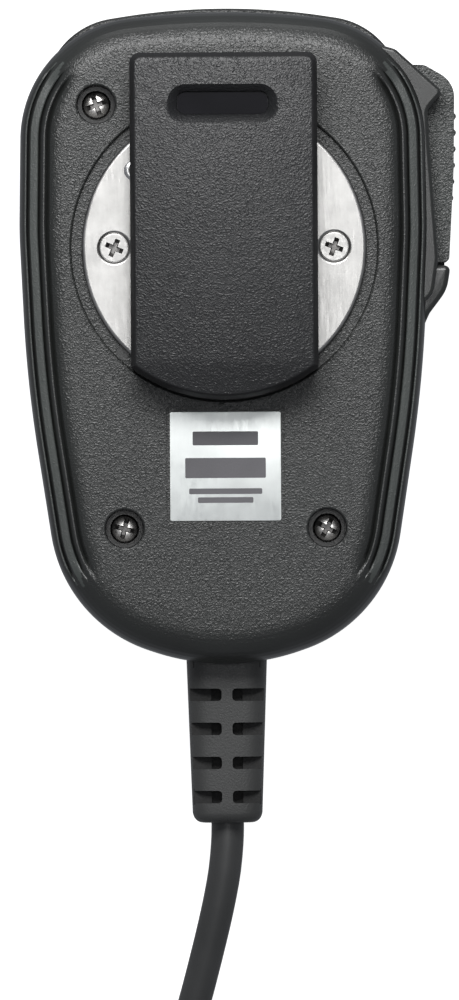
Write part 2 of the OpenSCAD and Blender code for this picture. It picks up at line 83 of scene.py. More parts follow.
# right half of each shell's outline from the top end down, each corner as (x, y, radius)
REAR_HALF = [(0, 38.4, 128), (32.1, 34.7, 19.5), (32.6, 2.5, 80), (31.5, -21.3, 205),
             (25.7, -59.4, 23), (0, -68.2, 36)]
FRONT_HALF = [(0, 39.6, 105), (24.9, 35.7, 12.5), (32.2, 18.4, 50), (31.2, -21.1, 205),
              (25.4, -59.2, 22.5), (0, -68.0, 35)]


# ---------------------------------------------------------------- camera and light
# lengths in metres, the turn in degrees
CAMERA_HEIGHT = 2.8
SEEN_LENGTH = 0.1587
SEEN_CENTRE = (0.0006, -0.0401)
SEEN_TURN = -0.35
SKY_STRENGTH = 0.28
FLOOR_SIZE = 6
FLOOR_GLOW = 0.97


def camera():
    """Straight above the microphone's back, long lens, framed as the object was photographed."""
    data = bpy.data.cameras.new("camera")
    cam = bpy.data.objects.new("camera", data)
    bpy.context.scene.collection.objects.link(cam)
    data.sensor_width = 36
    data.lens = data.sensor_width * (CAMERA_HEIGHT - BACK_Z * MM) / SEEN_LENGTH
    data.clip_end = 100
    cam.location = (*SEEN_CENTRE, CAMERA_HEIGHT)
    cam.rotation_euler = (0, 0, math.radians(SEEN_TURN))
    bpy.context.scene.camera = cam


def area_light(name, place, target, size, power):
    """A soft box of the given size at a place, facing the target."""
    data = bpy.data.lights.new(name, "AREA")
    data.shape = "RECTANGLE"
    data.size, data.size_y = size
    data.energy = power
    lamp = bpy.data.objects.new(name, data)
    bpy.context.scene.collection.objects.link(lamp)
    lamp.location = place
    lamp.visible_camera = False
    aim = Vector(target) - Vector(place)
    lamp.rotation_euler = aim.to_track_quat("-Z", "Y").to_euler()


def studio():
    """A pale floor, a soft box over the top end, a low strip beyond it and a light overhead."""
    area_light("key", (-0.02, 0.24, 0.42), (0, 0.03, 0.02), (0.3, 0.2), 3.1)
    area_light("strip", (0, 0.55, 0.1), (0, 0, 0.03), (0.5, 0.1), 0.45)
    area_light("over", (0.05, 0.08, 1.9), (0, 0, 0), (0.45, 0.45), 3.5)
    world = bpy.data.worlds.new("studio")
    world.use_nodes = True
    sky = world.node_tree.nodes["Background"]
    sky.inputs["Color"].default_value = (0.9, 0.93, 1, 1)
    sky.inputs["Strength"].default_value = SKY_STRENGTH
    bpy.context.scene.world = world
    bpy.context.scene.view_settings.view_transform = "Standard"
    bpy.ops.mesh.primitive_plane_add(size=FLOOR_SIZE, location=(0, 0, -0.0002))
    floor = bpy.context.object
    floor.name = "floor"
    mat, _, bsdf = new_material("floor_paper")
    bsdf.inputs["Base Color"].default_value = (0.3, 0.3, 0.3, 1)
    bsdf.inputs["Roughness"].default_value = 0.9
    bsdf.inputs["Emission Color"].default_value = (1, 1, 1, 1)
    bsdf.inputs["Emission Strength"].default_value = FLOOR_GLOW
    floor.data.materials.append(mat)
    floor.visible_glossy = False


# ---------------------------------------------------------------- materials
def new_material(name):
    """The material, its node tree and its shader."""
    mat = bpy.data.materials.new(name)
    mat.use_nodes = True
    tree = mat.node_tree
    return mat, tree, tree.nodes["Principled BSDF"]


def link(tree, a, b):
    tree.links.new(a, b)


def texture_space(tree):
    """The object's own coordinates, in metres."""
    return tree.nodes.new("ShaderNodeTexCoord").outputs["Object"]


def noise(tree, space, scale, detail=3, rough=0.5, distort=0.0):
    """Noise with about scale features to the metre."""
    node = tree.nodes.new("ShaderNodeTexNoise")
    node.inputs["Scale"].default_value = scale
    node.inputs["Detail"].default_value = detail
    node.inputs["Roughness"].default_value = rough
    node.inputs["Distortion"].default_value = distort
    link(tree, space, node.inputs["Vector"])
    return node.outputs["Fac"]


def math_node(tree, op, *values):
    """The operation on numbers or on other nodes' outputs."""
    node = tree.nodes.new("ShaderNodeMath")
    node.operation = op
    for k, v in enumerate(values):
        if isinstance(v, (int, float)):
            node.inputs[k].default_value = v
        else:
            link(tree, v, node.inputs[k])
    return node.outputs[0]


def spread(tree, value, low, high, to_low=0.0, to_high=1.0):
    """value, mapped from low..high to to_low..to_high."""
    node = tree.nodes.new("ShaderNodeMapRange")
    for key, v in (("From Min", low), ("From Max", high), ("To Min", to_low), ("To Max", to_high)):
        node.inputs[key].default_value = v
    link(tree, value, node.inputs["Value"])
    return node.outputs["Result"]


def tint(tree, fac, dark, light, bsdf):
    """Base colour that runs from dark to light with fac."""
    node = tree.nodes.new("ShaderNodeMix")
    node.data_type = "RGBA"
    node.inputs["A"].default_value = (*dark, 1)
    node.inputs["B"].default_value = (*light, 1)
    link(tree, fac, node.inputs["Factor"])
    link(tree, node.outputs["Result"], bsdf.inputs["Base Color"])


def bump(tree, height, distance, bsdf, strength=1.0, after=None):
    """Relief of the given height in metres, on top of an earlier one."""
    node = tree.nodes.new("ShaderNodeBump")
    node.inputs["Distance"].default_value = distance
    if isinstance(strength, float):
        node.inputs["Strength"].default_value = strength
    else:
        link(tree, strength, node.inputs["Strength"])
    link(tree, height, node.inputs["Height"])
    if after is not None:
        link(tree, after, node.inputs["Normal"])
    link(tree, node.outputs["Normal"], bsdf.inputs["Normal"])
    return node.outputs["Normal"]


def grain_height(tree, space, size):
    """Moulded leather grain: short wandering ridges of about the given size in metres."""
    broad = noise(tree, space, 1 / size, 1, 0.5, 0.4)
    fold = math_node(tree, "ABSOLUTE", math_node(tree, "SUBTRACT", broad, 0.5))
    small = noise(tree, space, 2.3 / size, 1, 0.5)
    return math_node(tree, "MULTIPLY_ADD", small, 0.3, math_node(tree, "MULTIPLY", fold, 1.7))


def where_grained(tree, space, low_z, high_z, disc_r):
    """1 on the faces that carry the grain: above a height, or inside the round recess."""
    split = tree.nodes.new("ShaderNodeSeparateXYZ")
    link(tree, space, split.inputs[0])
    high = spread(tree, split.outputs["Z"], low_z, high_z)
    x2 = math_node(tree, "MULTIPLY", split.outputs["X"], split.outputs["X"])
    r2 = math_node(tree, "MULTIPLY_ADD", split.outputs["Y"], split.outputs["Y"], x2)
    inside = math_node(tree, "LESS_THAN", r2, disc_r * disc_r)
    above = math_node(tree, "GREATER_THAN", split.outputs["Z"], (RECESS_Z - 0.3) * MM)
    return math_node(tree, "MAXIMUM", high, math_node(tree, "MULTIPLY", inside, above))


def plastic(name, dark, light, size, depth, rough=(0.42, 0.6), mask=None, specular=0.5):
    """Moulded black plastic with grain of the given size, where the mask says so."""
    mat, tree, bsdf = new_material(name)
    space = texture_space(tree)
    height = grain_height(tree, space, size)
    fine = noise(tree, space, 9000, 2)
    cloud = noise(tree, space, 60, 3)
    tint(tree, spread(tree, cloud, 0.3, 0.7), dark, light, bsdf)
    bsdf.inputs["Specular IOR Level"].default_value = specular
    if mask is None:
        link(tree, spread(tree, fine, 0.3, 0.7, *rough), bsdf.inputs["Roughness"])
        first = bump(tree, height, depth, bsdf, 1.0)
    else:
        grained = where_grained(tree, space, *mask)
        link(tree, spread(tree, grained, 0, 1, rough[0], rough[1]), bsdf.inputs["Roughness"])
        first = bump(tree, height, depth, bsdf, math_node(tree, "MULTIPLY_ADD", grained, 0.94, 0.06))
    bump(tree, fine, depth * 0.25, bsdf, 0.5, first)
    return mat


def rubber(name, dark, light, rough=0.55, size=0.00025, depth=0.00002):
    """Rubber, soft plastic or paper with a fine speckle of the given size in metres."""
    mat, tree, bsdf = new_material(name)
    space = texture_space(tree)
    speckle = noise(tree, space, 1 / size, 3, 0.6)
    tint(tree, spread(tree, noise(tree, space, 80, 3), 0.3, 0.7), dark, light, bsdf)
    link(tree, spread(tree, speckle, 0.3, 0.7, rough - 0.08, rough + 0.1), bsdf.inputs["Roughness"])
    bump(tree, speckle, depth, bsdf, 1.0)
    return mat


def metal(name, dark, light, rough, scratch=(0.0, 1.0), fine=4000, depth=0.000004):
    """Bare metal with fine scratches; scratch is the angle and the stretch of their pattern."""
    mat, tree, bsdf = new_material(name)
    bsdf.inputs["Metallic"].default_value = 1.0
    space = texture_space(tree)
    turn = tree.nodes.new("ShaderNodeMapping")
    turn.inputs["Rotation"].default_value = (0, 0, scratch[0])
    turn.inputs["Scale"].default_value = (1, scratch[1], 1)
    link(tree, space, turn.inputs["Vector"])
    lines = noise(tree, turn.outputs[0], fine, 4, 0.65)
    spots = noise(tree, space, 220, 4, 0.6)
    tint(tree, spread(tree, spots, 0.3, 0.7), dark, light, bsdf)
    both = math_node(tree, "MULTIPLY_ADD", spots, 0.6, lines)
    link(tree, spread(tree, both, 0.5, 1.1, rough - 0.08, rough + 0.12), bsdf.inputs["Roughness"])
    bump(tree, lines, depth, bsdf, 1.0)
    return mat


def clear_plastic(name):
    """Clear moulding with a slight ripple."""
    mat, tree, bsdf = new_material(name)
    space = texture_space(tree)
    bsdf.inputs["Transmission Weight"].default_value = 0.9
    bsdf.inputs["IOR"].default_value = 1.45
    ripple = noise(tree, space, 300, 3)
    tint(tree, ripple, (0.86, 0.9, 0.92), (0.95, 0.97, 0.98), bsdf)
    link(tree, spread(tree, ripple, 0.3, 0.7, 0.05, 0.16), bsdf.inputs["Roughness"])
    bump(tree, ripple, 0.00002, bsdf, 0.5)
    return mat


def board_material(name):
    """Green solder mask with raised tracks."""
    mat, tree, bsdf = new_material(name)
    space = texture_space(tree)
    tracks = tree.nodes.new("ShaderNodeTexBrick")
    tracks.inputs["Scale"].default_value = 420
    tracks.inputs["Mortar Size"].default_value = 0.04
    tracks.inputs["Color1"].default_value = (0.01, 0.12, 0.05, 1)
    tracks.inputs["Color2"].default_value = (0.012, 0.15, 0.06, 1)
    tracks.inputs["Mortar"].default_value = (0.03, 0.24, 0.1, 1)
    link(tree, space, tracks.inputs["Vector"])
    link(tree, tracks.outputs["Color"], bsdf.inputs["Base Color"])
    bsdf.inputs["Coat Weight"].default_value = 0.4
    link(tree, spread(tree, noise(tree, space, 900), 0.3, 0.7, 0.25, 0.4), bsdf.inputs["Roughness"])
    bump(tree, tracks.outputs["Fac"], 0.00003, bsdf, 0.6)
    return mat


def cloth_material(name):
    """Fine black weave."""
    mat, tree, bsdf = new_material(name)
    space = texture_space(tree)
    weave = tree.nodes.new("ShaderNodeTexChecker")
    weave.inputs["Scale"].default_value = 2500
    link(tree, space, weave.inputs["Vector"])
    tint(tree, weave.outputs["Fac"], (0.008, 0.008, 0.009), (0.03, 0.03, 0.032), bsdf)
    link(tree, spread(tree, noise(tree, space, 3000), 0.3, 0.7, 0.8, 0.95), bsdf.inputs["Roughness"])
    bump(tree, weave.outputs["Fac"], 0.00005, bsdf, 0.8)
    return mat


# dark and light tint of the plastics, and the mask's heights and radius in metres
GREEN_BLACK = ((0.012, 0.0128, 0.0122), (0.017, 0.0184, 0.0175))
BLUE_BLACK = ((0.009, 0.0092, 0.0098), (0.013, 0.0134, 0.0142))
FACE_MASK = ((BACK_Z - 1.2) * MM, (BACK_Z - 0.55) * MM, RECESS_R * MM)

MAT = {
    "shell": plastic("shell_plastic", *GREEN_BLACK, 0.0005, 0.00011, (0.3, 0.38), FACE_MASK),
    "front": plastic("front_plastic", *GREEN_BLACK, 0.0005, 0.00012, (0.32, 0.42)),
    # lighter plastic for the side bands, as painted sheen that stands in for the floor's reflection
    "side": plastic("side_painted_sheen", (0.032, 0.036, 0.034), (0.042, 0.047, 0.044),
                    0.0004, 0.00006, (0.4, 0.5)),
    "button": plastic("button_plastic", (0.018, 0.02, 0.019), (0.025, 0.028, 0.0265),
                      0.0005, 0.00014, (0.36, 0.44)),
    "lever": plastic("lever_plastic", *BLUE_BLACK, 0.0005, 0.00012, (0.34, 0.42), specular=0.36),
    # near-black glossy plastic for the sheet in the lever's slot, as painted shadow
    "slot_shadow": plastic("slot_painted_shadow", (0.006, 0.006, 0.007), (0.01, 0.01, 0.012),
                     0.004, 0.00001, (0.12, 0.2), specular=0.015),
    # a darker, less shiny copy of the black plastic, painted on steep edges and well walls as painted
    # shade
    "shaded_edge": plastic("lever_edge_painted_shade", (0.008, 0.008, 0.0085), (0.013, 0.013, 0.0135),
                    0.0005, 0.00005, (0.5, 0.6), specular=0.2),
    "hub": plastic("hub_plastic", *BLUE_BLACK, 0.0004, 0.00004),
    # near-black rubber for the insides of the sleeve's slots, as painted shade
    "slit_shade": rubber("slit_painted_shade", (0.006, 0.006, 0.006), (0.012, 0.012, 0.012), 0.8),
    "seal": rubber("seal_rubber", (0.012, 0.012, 0.012), (0.02, 0.02, 0.02), 0.7),
    "relief": rubber("relief_rubber", (0.022, 0.0226, 0.022), (0.031, 0.0316, 0.031),
                     0.46, 0.0003, 0.00006),
    "cord": rubber("cord_jacket", (0.023, 0.0237, 0.0237), (0.031, 0.0317, 0.0317), 0.45),
    "plate": metal("plate_steel", (0.28, 0.277, 0.27), (0.42, 0.415, 0.405), 0.34,
                   (0.7, 0.06), 4000, 0.0000015),
    "screw": metal("screw_nickel", (0.6, 0.585, 0.56), (0.74, 0.72, 0.69), 0.22,
                   fine=1500, depth=0.000001),
    "plate_screw": metal("plate_screw_steel", (0.28, 0.277, 0.27), (0.38, 0.376, 0.368), 0.3,
                         fine=1500, depth=0.000001),
    # darker steel for the screws' cross recesses, as painted shade
    "recess": metal("recess_shade_steel", (0.16, 0.155, 0.15), (0.24, 0.235, 0.23), 0.45,
                    fine=2500, depth=0.000002),
    "steel": metal("pin_steel", (0.5, 0.5, 0.5), (0.65, 0.65, 0.64), 0.25),
    "brass": metal("insert_brass", (0.6, 0.42, 0.16), (0.75, 0.56, 0.25), 0.3),
    "gold": metal("contact_gold", (0.8, 0.58, 0.2), (0.92, 0.7, 0.3), 0.2),
    "can": metal("can_aluminium", (0.6, 0.6, 0.6), (0.75, 0.75, 0.75), 0.35),
    "magnet": metal("magnet_plating", (0.3, 0.3, 0.32), (0.42, 0.42, 0.44), 0.35),
    "label": metal("label_foil", (0.7, 0.725, 0.71), (0.78, 0.805, 0.79), 0.5, (0.0, 0.2), 2500),
    "print": rubber("label_print", (0.07, 0.068, 0.074), (0.1, 0.097, 0.105), 0.6),
    "clear": clear_plastic("plug_polycarbonate"),
    "board": board_material("board_mask"),
    "cloth": cloth_material("grille_cloth_weave"),
    "paper": rubber("cone_paper_pulp", (0.03, 0.027, 0.024), (0.06, 0.055, 0.05), 0.85, 0.0006),
    "header": rubber("header_nylon", (0.62, 0.59, 0.5), (0.72, 0.69, 0.6), 0.45),
    "black": rubber("switch_nylon", (0.02, 0.02, 0.02), (0.035, 0.035, 0.035), 0.5),
    "wire": rubber("wire_jacket", (0.4, 0.03, 0.02), (0.5, 0.06, 0.04), 0.4),
}


# ---------------------------------------------------------------- mesh tools
SHARP_ANGLE = 35
CAP_CORNERS = 40


def piece(name, verts, faces, mat):
    """An object in millimetres, smooth except at sharp edges; settle() scales it."""
    mesh = bpy.data.meshes.new(name)
    mesh.from_pydata([tuple(v) for v in verts], [], faces)
    mesh.materials.append(mat)
    obj = bpy.data.objects.new(name, mesh)
    bpy.context.scene.collection.objects.link(obj)
    outward(obj)
    shade(obj, SHARP_ANGLE)
    return obj


def settle(obj, body, replaced=(), scale=MM):
    """Scales a finished piece to metres and puts it on its body."""
    if obj.type == "MESH":
        obj.data.transform(Matrix.Scale(scale, 4))
    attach(obj, body)
    if replaced:
        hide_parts(*replaced)
    return obj


def outward(obj):
    """Merges doubled points and turns the faces outwards."""
    bm = bmesh.new()
    bm.from_mesh(obj.data)
    bmesh.ops.remove_doubles(bm, verts=bm.verts, dist=1e-4)
    bmesh.ops.dissolve_degenerate(bm, dist=1e-5, edges=bm.edges)
    bmesh.ops.recalc_face_normals(bm, faces=bm.faces)
    bm.to_mesh(obj.data)
    bm.free()


def shade(obj, degrees):
    """Smooth shading, with edges over the angle and the rims of flat caps kept sharp."""
    bm = bmesh.new()
    bm.from_mesh(obj.data)
    limit = math.radians(degrees)
    for f in bm.faces:
        f.smooth = True
    for e in bm.edges:
        if len(e.link_faces) == 2:
            cap = max(len(f.verts) for f in e.link_faces) > CAP_CORNERS
            e.smooth = e.calc_face_angle(0) < limit and not cap
    bm.to_mesh(obj.data)
    bm.free()


def repaint(obj, mat, chosen):
    """Gives the material to every face that the test chooses by its normal and centre."""
    obj.data.materials.append(mat)
    for face in obj.data.polygons:
        if chosen(face.normal, face.center):
            face.material_index = len(obj.data.materials) - 1


def close_gaps(obj):
    """Fills any hole that is left in the skin."""
    bm = bmesh.new()
    bm.from_mesh(obj.data)
    bmesh.ops.holes_fill(bm, edges=[e for e in bm.edges if len(e.link_faces) == 1], sides=0)
    bm.to_mesh(obj.data)
    bm.free()
    outward(obj)


def evaluated_mesh(obj):
    """A new mesh of the object as its modifiers or its curve shape it."""
    bpy.context.view_layer.update()
    graph = bpy.context.evaluated_depsgraph_get()
    return bpy.data.meshes.new_from_object(obj.evaluated_get(graph))


def apply_modifiers(obj):
    mesh = evaluated_mesh(obj)
    obj.modifiers.clear()
    obj.data = mesh


def boolean(obj, tools, operation="DIFFERENCE"):
    """obj cut by, or joined with, each tool in turn; the tools are deleted."""
    for tool in tools:
        mod = obj.modifiers.new("cut", "BOOLEAN")
        mod.operation = operation
        mod.solver = "EXACT"
        mod.object = tool
        apply_modifiers(obj)
        bpy.data.objects.remove(tool)
        outward(obj)


def bevel(obj, width, segments=3, degrees=30):
    mod = obj.modifiers.new("bevel", "BEVEL")
    mod.width = width
    mod.segments = segments
    mod.limit_method = "ANGLE"
    mod.angle_limit = math.radians(degrees)
    apply_modifiers(obj)


def corner_arc(p, c, q, steps, clockwise=True):
    """Points of a rounded corner, each with the direction that leads out of the outline."""
    here = Vector(c[:2])
    a = (Vector(p[:2]) - here).normalized()
    b = (Vector(q[:2]) - here).normalized()
    half = math.acos(max(-1, min(1, a.dot(b)))) / 2
    centre = here + (a + b).normalized() * c[2] / math.sin(half)
    first = (here + a * c[2] / math.tan(half) - centre).normalized()
    right_turn = a.x * b.y - a.y * b.x > 0
    turn = (-1 if right_turn else 1) * (math.pi - 2 * half)
    out_sign = 1 if right_turn == clockwise else -1
    arc = []
    for k in range(steps + 1):
        t = turn * k / steps
        d = Vector((first.x * math.cos(t) - first.y * math.sin(t),
                    first.x * math.sin(t) + first.y * math.cos(t)))
        arc.append((centre + c[2] * d, out_sign * d))
    return arc


def rounded(corners, steps=8):
    """All corners' arcs in order, whichever way round the corners run."""
    before = corners[-1:] + corners[:-1]
    after = corners[1:] + corners[:1]
    area = sum(p[0] * c[1] - c[0] * p[1] for p, c in zip(before, corners))
    return [spot for p, c, q in zip(before, corners, after)
            for spot in corner_arc(p, c, q, steps, area < 0)]


def both_sides(half):
    """The corners of a half outline and their mirror images."""
    return list(half) + [(-x, y, r) for x, y, r in reversed(half) if x > 0]


def outline(corners, count, steps=40):
    """count points spaced evenly along the rounded outline, each with its outward direction."""
    dense = rounded(corners, steps)
    dense.append(dense[0])
    run = [0.0]
    for (p, _), (q, _) in zip(dense, dense[1:]):
        run.append(run[-1] + (q - p).length)
    out, j = [], 0
    for k in range(count):
        s = run[-1] * k / count
        while run[j + 1] < s:
            j += 1
        t = (s - run[j]) / max(run[j + 1] - run[j], 1e-9)
        p = dense[j][0].lerp(dense[j + 1][0], t)
        out.append((p, dense[j][1].lerp(dense[j + 1][1], t).normalized()))
    return out


def stack(rings, closed=True):
    """Faces through equal rings of points; closed caps the first and last ring."""
    n = len(rings[0])
    verts = [p for r in rings for p in r]
    faces = []
    for j in range(len(rings) - 1):
        for i in range(n):
            k = (i + 1) % n
            faces.append((j * n + i, j * n + k, (j + 1) * n + k, (j + 1) * n + i))
    if closed:
        faces.append(tuple(range(n))[::-1])
        faces.append(tuple((len(rings) - 1) * n + i for i in range(n)))
    return verts, faces


def inset_ring(line, inset, z):
    """The outline moved inwards, at a height that may depend on the point's number."""
    return [(p.x - d.x * inset, p.y - d.y * inset, z(k) if callable(z) else z)
            for k, (p, d) in enumerate(line)]


def lathe(profile, centre, count=96):
    """Rings of a profile of (radius, z) turned about a vertical axis."""
    angles = [TAU * k / count for k in range(count)]
    return [[(centre[0] + r * math.cos(a), centre[1] + r * math.sin(a), z) for a in angles]
            for r, z in profile]


def turned(name, profile, centre, mat, count=96):
    """A solid turned about a vertical axis."""
    return piece(name, *stack(lathe(profile, centre, count)), mat)


def tool_turned(profile, centre, count=96):
    return turned("tool", profile, centre, MAT["shell"], count)


def prism(name, corners, z_low, z_high, mat, steps=10):
    """A straight solid over a rounded outline."""
    line = rounded(corners, steps)
    return piece(name, *stack([inset_ring(line, 0, z) for z in (z_low, z_high)]), mat)


def oblong(reach, y, half, radius):
    """Corners of a rounded bar across the middle, at a Y and with half its width."""
    return [(-reach, y + half, radius), (reach, y + half, radius),
            (reach, y - half, radius), (-reach, y - half, radius)]


def rod_y(r, y0, y1, count):
    """A rod along Y about the cord's axis, to cut with."""
    rings = [[(r * math.cos(TAU * k / count), y, AXIS_Z + r * math.sin(TAU * k / count))
              for k in range(count)] for y in (y0, y1)]
    return piece("tool", *stack(rings), MAT["shell"])


def pad(corners, z_low, z_high, low_edge=0.0, high_edge=0.0):
    """A prism whose lower and upper edges are rounded, to join on."""
    line = rounded(corners, 8)
    bend = [math.radians(18 * k) for k in range(6)]
    rings = []
    if low_edge:
        rings += [inset_ring(line, low_edge * (1 - math.sin(a)), z_low + low_edge * (1 - math.cos(a)))
                  for a in bend]
    rings.append(inset_ring(line, 0, z_low + low_edge))
    rings.append(inset_ring(line, 0, z_high - high_edge))
    if high_edge:
        rings += [inset_ring(line, high_edge * (1 - math.cos(a)), z_high - high_edge * (1 - math.sin(a)))
                  for a in bend[1:]]
    return piece("tool", *stack(rings), MAT["shell"])


def box_tool(low, high):
    rings = [[(low[0], low[1], z), (high[0], low[1], z), (high[0], high[1], z), (low[0], high[1], z)]
             for z in (low[2], high[2])]
    return piece("tool", *stack(rings), MAT["shell"])


def level(points, x):
    """Value at x on straight lines through (x, value) points."""
    for (x0, y0), (x1, y1) in zip(points, points[1:]):
        if x <= x1:
            t = (x - x0) / (x1 - x0)
            return y0 + (y1 - y0) * t
    return points[-1][1]


def ease(low, high, x):
    """0 below low, 1 above high, and a smooth step between."""
    t = max(0.0, min(1.0, (x - low) / (high - low)))
    return t * t * (3 - 2 * t)


def refined(node, mat, body, width=0.0, segments=3, degrees=30):
    """A copy of a CAD node's solid with clean faces and rounded edges, which stands for it."""
    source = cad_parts[node]
    mesh = source.data.copy()
    mesh.transform(Matrix.Scale(1 / MM, 4))
    obj = bpy.data.objects.new(node + "_skin", mesh)
    bpy.context.scene.collection.objects.link(obj)
    mesh.materials.clear()
    mesh.materials.append(mat)
    bm = bmesh.new()
    bm.from_mesh(mesh)
    bmesh.ops.remove_doubles(bm, verts=bm.verts, dist=2e-3)
    bmesh.ops.dissolve_limit(bm, angle_limit=math.radians(1), verts=bm.verts, edges=bm.edges)
    for f in bm.faces:
        f.material_index = 0
    bm.to_mesh(mesh)
    bm.free()
    if width:
        bevel(obj, width, segments, degrees)
    shade(obj, degrees + 5)
    return settle(obj, body, (node,))


def wire(name, points, diameter, roundness, mat):
    """A curve in metres along points in millimetres, thick and with closed ends."""
    data = bpy.data.curves.new(name, "CURVE")
    data.dimensions = "3D"
    data.bevel_depth = diameter / 2 * MM
    data.bevel_resolution = roundness
    data.use_fill_caps = True
    spline = data.splines.new("POLY")
    spline.points.add(len(points) - 1)
    for knot, p in zip(spline.points, points):
        knot.co = (*(p * MM), 1)
    spline.use_smooth = True
    data.materials.append(mat)
    obj = bpy.data.objects.new(name, data)
    bpy.context.scene.collection.objects.link(obj)
    return obj


# ---------------------------------------------------------------- cord
LEAD = [(0, -91.5, 14), (0, -92.5, 14), (-0.1, -95, 14), (-0.5, -99, 13.8), (-1.2, -103, 13.4),
        (-2.3, -108, 12.7), (-3.8, -114, 11.6), (-5.4, -120, 10.4), (-7.2, -126, 9.2),
        (-9.4, -132, 8.2), (-11.8, -138, 7.5), (-14, -143, 7.5)]
CURL_START = [(-14, -143, 7.5), (-17.96, -152, 7.5), (-22, -164, 7.5), (-25.5, -178, 7.5),
              (-29, -196, 7.5), (-31.3, -216, 7.5), (-32, -236, 7.5)]
CURL_BEND = Vector((-2, -254, 7.5))
CURL_BEND_R = 30
CURL_FINISH = [(28, -236, 7.5), (28, -216, 7.5), (28, -196, 7.5), (28, -176, 7.5)]
TAIL = [(28, -176, 7.5), (28, -170, 7.5), (27.6, -164, 7.3), (26, -158, 7), (22.6, -152.6, 6.4),
        (17.6, -149.2, 5.8), (12, -148, 5.2), (6.4, -149.2, 4.8), (1.4, -152.6, 4.6),
        (-2, -158, 4.5), (-3.6, -163, 4.5), (-4, -168, 4.5), (-4, -170, 4.5)]
TURN_PITCH = 5.42
TURN_STEPS = 20


def smooth_route(points, step):
    """Points a step apart on a Catmull-Rom curve through the given ones."""
    pts = [Vector(p) for p in points]
    pts = [2 * pts[0] - pts[1]] + pts + [2 * pts[-1] - pts[-2]]
    fine = []
    for a, b, c, d in zip(pts, pts[1:], pts[2:], pts[3:]):
        n = max(2, round((c - b).length / step))
        for k in range(n):
            t = k / n
            fine.append(0.5 * (2 * b + (c - a) * t + (2 * a - 5 * b + 4 * c - d) * t * t
                               + (3 * b - a - 3 * c + d) * t ** 3))
    fine.append(pts[-2])
    return fine


def curl_route():
    """The middle line of the curls: two runs joined by a half circle."""
    bend = [CURL_BEND + CURL_BEND_R * Vector((math.cos(a), math.sin(a), 0))
            for a in (math.radians(15 * k) for k in range(12, 25))]
    return CURL_START + bend + CURL_FINISH


def helix_along(route, radius, pitch, steps):
    """Points of a helix about a level route, opening from the route's line and closing to it."""
    run = [0.0]
    for p, q in zip(route, route[1:]):
        run.append(run[-1] + (q - p).length)
    turns = round(run[-1] / pitch)
    out, j = [], 0
    for k in range(turns * steps + 1):
        s = run[-1] * k / (turns * steps)
        while j < len(run) - 2 and run[j + 1] < s:
            j += 1
        t = (s - run[j]) / max(run[j + 1] - run[j], 1e-9)
        p = route[j].lerp(route[j + 1], t)
        along = (route[min(j + 2, len(route) - 1)] - route[max(j - 1, 0)]).normalized()
        side = along.cross(Vector((0, 0, 1))).normalized()
        turn = TAU * k / steps
        grow = ease(0, 1.2, k / steps) * ease(0, 1.2, turns - k / steps)
        out.append(p + radius * grow * (math.cos(turn) * Vector((0, 0, 1)) + math.sin(turn) * side))
    return out


def cable():
    """Straight lead, curls and tail in one jacket."""
    lead = smooth_route(LEAD, 2.0)
    curls = helix_along(smooth_route(curl_route(), 1.0), (CURL_D - CORD_D) / 2, TURN_PITCH, TURN_STEPS)
    tail = smooth_route(TAIL, 2.0)
    points = lead[:-1] + curls + tail[1:]
    cord = wire("cord", points, CORD_D, 5, MAT["cord"])
    settle(cord, "mic", ("cord_lead", "curly_cord", "cord_tail"))
    length = sum((q - p).length for p, q in zip(points, points[1:])) * MM
    return cord, length


camera()
studio()
cord, cord_length = cable()


# ---------------------------------------------------------------- case
# height of the skin over its distance in from the outline, along the long sides and the ends,
# for a back that stands at PROFILE_BACK
PROFILE_BACK = 28.5
SIDE_PROFILE = [(0, 20.0), (0.1, 23.4), (0.3, 24.8), (0.6, 25.65), (0.9, 26.05), (1.1, 26.0),
                (1.3, 25.5), (1.5, 26.1), (1.75, 26.45), (2.3, 26.6), (2.8, 26.7), (2.95, 26.6),
                (3.1, 26.15), (3.3, 26.75), (3.6, 27.35), (3.8, 27.55), (4.0, 27.55), (4.2, 27.35),
                (4.4, 26.9), (4.6, 27.35), (4.9, 27.8), (5.4, 28.15), (6.0, 28.35), (6.7, 28.46),
                (7.4, 28.5)]
END_PROFILE = [(0, 20.0), (0.1, 22.6), (0.3, 24.2), (0.7, 25.4), (1.2, 26.25), (1.8, 26.95),
               (2.5, 27.5), (3.2, 27.9), (3.9, 28.2), (4.6, 28.36), (5.4, 28.44), (7.4, 28.5)]
OUTLINE_POINTS = 360
CHEEK = [(24, 32.4, 1), (27.4, 31.4, 2), (34.9, 24.6, 0.9), (32.4, 21.8, 2), (32.7, 16, 6),
         (34.0, -1.8, 2), (33, -9, 3), (24, -9, 1)]
TOE = [(26, -3.0, 1), (36.0, -3.0, 0.85), (35.4, -6.9, 6), (32.6, -10.6, 1.5), (30.6, -15, 2),
       (26, -15, 1)]
WINDOW = (7.6, 20.9)
WALL = 2.2
LIP = 0.35
BOSS_END = 26.4
WELL_R = 3.4
GRILLE_Y = 6.5
GRILLE_R = 17.4
GRILLE_PITCH = 2.6
PINHOLE = (-18, -32)
LABEL_WELL = [(-9.4, -25.2, 0.5), (9.4, -25.2, 0.5), (9.4, -44.3, 0.5), (-9.4, -44.3, 0.5)]


def on_side(p):
    """1 where the long sides carry their groove and ridge, fading out towards the ends."""
    return ease(-55.5, -50, p.y) * (1 - ease(27, 31.5, p.y)) * ease(16, 21, abs(p.x))


